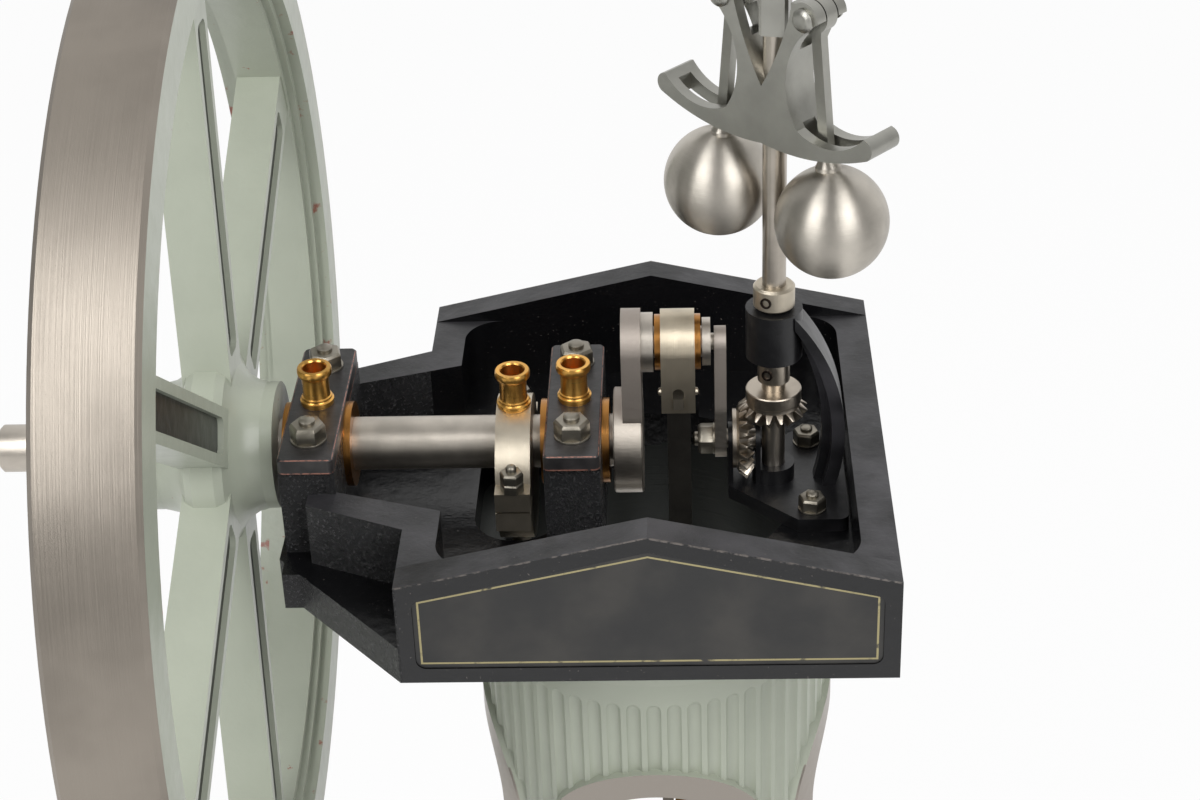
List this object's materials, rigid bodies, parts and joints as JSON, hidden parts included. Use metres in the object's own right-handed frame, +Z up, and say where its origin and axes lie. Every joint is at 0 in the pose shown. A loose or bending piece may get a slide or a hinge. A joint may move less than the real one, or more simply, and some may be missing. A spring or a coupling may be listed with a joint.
{
  "type": "model stationary steam engine",
  "caption": "Model overcrank column steam engine: fluted round column on a square base, gabled tray with bearings, side flywheel, eccentric and bevel-driven ball governor.",
  "frame": {"origin": "centre of the base's underside, under the column's axis", "axes": "+Z up, +X along the crankshaft towards the governor, -Y the plate side"},
  "size_m": [0.202, 0.2286, 0.4266],
  "materials": {
    "sage_paint": "satin sage-green paint on cast iron",
    "flywheel_paint": "sage-green paint with a polished rim",
    "black_enamel": "black enamel on cast iron",
    "plate_enamel": "bare black plate with a thin brass edge",
    "bronze": "turned bronze",
    "brass": "turned yellow brass",
    "steel": "bright filed and turned steel"
  },
  "bodies": {
    "frame": {"base_plinth": "black_enamel", "column": "sage_paint", "cylinder_cover": "steel", "gland": "brass", "piston_rod": "steel", "crosshead": "brass", "guide_bar_front": "steel", "guide_bar_back": "steel", "entablature": "black_enamel", "nameplate": "plate_enamel", "bearing_brass_inner": "bronze", "bearing_brass_outer": "bronze", "bearing_cap_inner": "black_enamel", "bearing_cap_outer": "black_enamel", "oil_cup_inner": "brass", "oil_cup_outer": "brass", "governor_bracket": "black_enamel"},
    "crankshaft": {"crankshaft": "steel", "flywheel": "flywheel_paint", "eccentric_sheave": "steel", "crank_web": "steel", "crank_pin": "steel", "drag_crank": "steel", "bevel_shaft": "steel", "drive_bevel": "steel"},
    "connecting_rod": {"connecting_rod": "steel", "big_end_strap": "steel", "big_end_brass": "bronze", "big_end_cotter": "steel"},
    "eccentric_rod": {"eccentric_strap_upper": "steel", "eccentric_strap_lower": "steel", "eccentric_oil_cup": "brass", "eccentric_rod": "steel"},
    "governor": {"governor_spindle": "steel", "governor_bevel": "steel", "spindle_collar": "steel", "governor_frame": "steel", "pivot_pin_left": "steel", "pivot_pin_right": "steel", "governor_finial": "steel"},
    "ball_arm_right": {"ball_arm_right": "steel", "ball_right": "steel"},
    "ball_arm_left": {"ball_arm_left": "steel", "ball_left": "steel"},
    "sleeve": {"governor_sleeve": "steel"}
  },
  "joints": [
    {"name": "crank_turn", "type": "hinge", "parent": "frame", "child": "crankshaft", "pos_m": [0, 0, 0.3], "axis": [1, 0, 0], "continuous": true},
    {"name": "big_end", "type": "hinge", "parent": "crankshaft", "child": "connecting_rod", "pos_m": [0.006, 0, 0.3232], "axis": [1, 0, 0], "continuous": true},
    {"name": "eccentric_turn", "type": "hinge", "parent": "crankshaft", "child": "eccentric_rod", "pos_m": [-0.0277, -0.003, 0.296], "axis": [1, 0, 0], "continuous": true},
    {"name": "governor_spin", "type": "hinge", "parent": "frame", "child": "governor", "pos_m": [0.0255, 0, 0.3], "axis": [0, 0, 1], "continuous": true},
    {"name": "arm_swing_right", "type": "hinge", "parent": "governor", "child": "ball_arm_right", "pos_m": [0.03308, -0.00683, 0.3963], "axis": [-0.6691, -0.7431, 0], "range_deg": [0, 17]},
    {"name": "arm_swing_left", "type": "hinge", "parent": "governor", "child": "ball_arm_left", "pos_m": [0.01792, 0.00683, 0.3963], "axis": [0.6691, 0.7431, 0], "range_deg": [0, 17]},
    {"name": "sleeve_slide", "type": "slide", "parent": "governor", "child": "sleeve", "axis": [0, 0, -1], "range_m": [0, 0.0015]}
  ],
  "couplings": [
    {"joint": "big_end", "follows": "crank_turn", "ratio": -1},
    {"joint": "eccentric_turn", "follows": "crank_turn", "ratio": -1},
    {"joint": "governor_spin", "follows": "crank_turn", "ratio": 1.25},
    {"joint": "arm_swing_left", "follows": "arm_swing_right", "ratio": 1},
    {"joint": "sleeve_slide", "follows": "arm_swing_right", "m_per_rad": 0.005}
  ]
}
